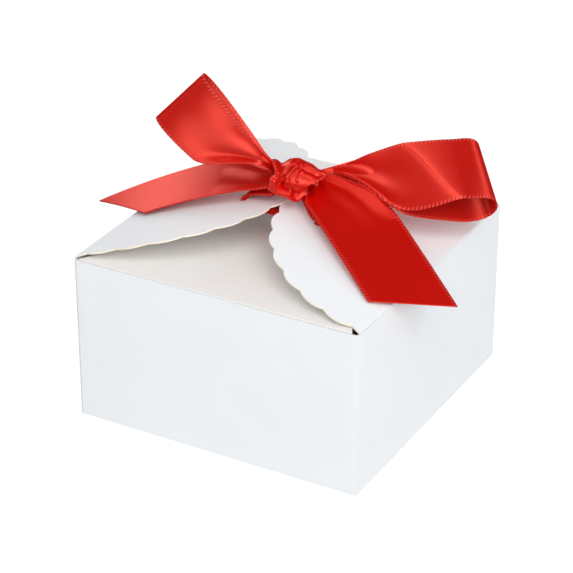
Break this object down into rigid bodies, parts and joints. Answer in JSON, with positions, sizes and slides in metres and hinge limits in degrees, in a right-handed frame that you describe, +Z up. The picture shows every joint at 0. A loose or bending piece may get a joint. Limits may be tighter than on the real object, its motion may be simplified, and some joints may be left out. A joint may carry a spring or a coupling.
{
  "type": "favor box",
  "caption": "Square folded-card favor box with scalloped lid flaps that close over plain inner flaps, tied shut by a satin ribbon bow through slots in the lid.",
  "frame": {"origin": "centre of the square base, on the surface that the box stands on", "axes": "+Z up, the scalloped flaps fold from the walls at -X and +X, the plain flaps from the walls at -Y and +Y"},
  "size_m": [0.1114, 0.08, 0.0892],
  "materials": {
    "white_card": "matte",
    "red_satin": "satin"
  },
  "bodies": {
    "carton": {"front_wall": "white_card", "right_wall": "white_card", "back_wall": "white_card", "left_wall": "white_card", "glue_tab": "white_card", "bottom_lock_panel": "white_card", "bottom_left_panel": "white_card", "bottom_right_panel": "white_card", "bottom_tongue_panel": "white_card"},
    "left_flap": {"left_scalloped_flap": "white_card"},
    "right_flap": {"right_scalloped_flap": "white_card"},
    "front_flap": {"front_inner_flap": "white_card"},
    "back_flap": {"back_inner_flap": "white_card"},
    "ribbon": {"ribbon_knot": "red_satin", "ribbon_left_loop": "red_satin", "ribbon_right_loop": "red_satin", "ribbon_left_tail": "red_satin", "ribbon_right_tail": "red_satin", "ribbon_band": "red_satin"}
  },
  "joints": [
    {"name": "ribbon_lift", "type": "slide", "parent": "carton", "child": "ribbon", "axis": [0, 0, 1], "range_m": [0, 0.18], "deforming": ["ribbon_band"]},
    {"name": "left_flap_fold", "type": "hinge", "parent": "carton", "child": "left_flap", "pos_m": [-0.0398, 0, 0.0448], "axis": [0, -1, 0], "range_deg": [0, 150]},
    {"name": "right_flap_fold", "type": "hinge", "parent": "carton", "child": "right_flap", "pos_m": [0.0398, 0, 0.0448], "axis": [0, 1, 0], "range_deg": [0, 150]},
    {"name": "front_flap_fold", "type": "hinge", "parent": "carton", "child": "front_flap", "pos_m": [0, -0.0398, 0.0448], "axis": [1, 0, 0], "range_deg": [0, 150]},
    {"name": "back_flap_fold", "type": "hinge", "parent": "carton", "child": "back_flap", "pos_m": [0, 0.0398, 0.0448], "axis": [-1, 0, 0], "range_deg": [0, 150]}
  ],
  "couplings": [
    {"joint": "left_flap_fold", "follows": "ribbon_lift", "rad_per_m": 14.54},
    {"joint": "right_flap_fold", "follows": "ribbon_lift", "rad_per_m": 14.54},
    {"joint": "front_flap_fold", "follows": "ribbon_lift", "rad_per_m": 14.54},
    {"joint": "back_flap_fold", "follows": "ribbon_lift", "rad_per_m": 14.54}
  ]
}
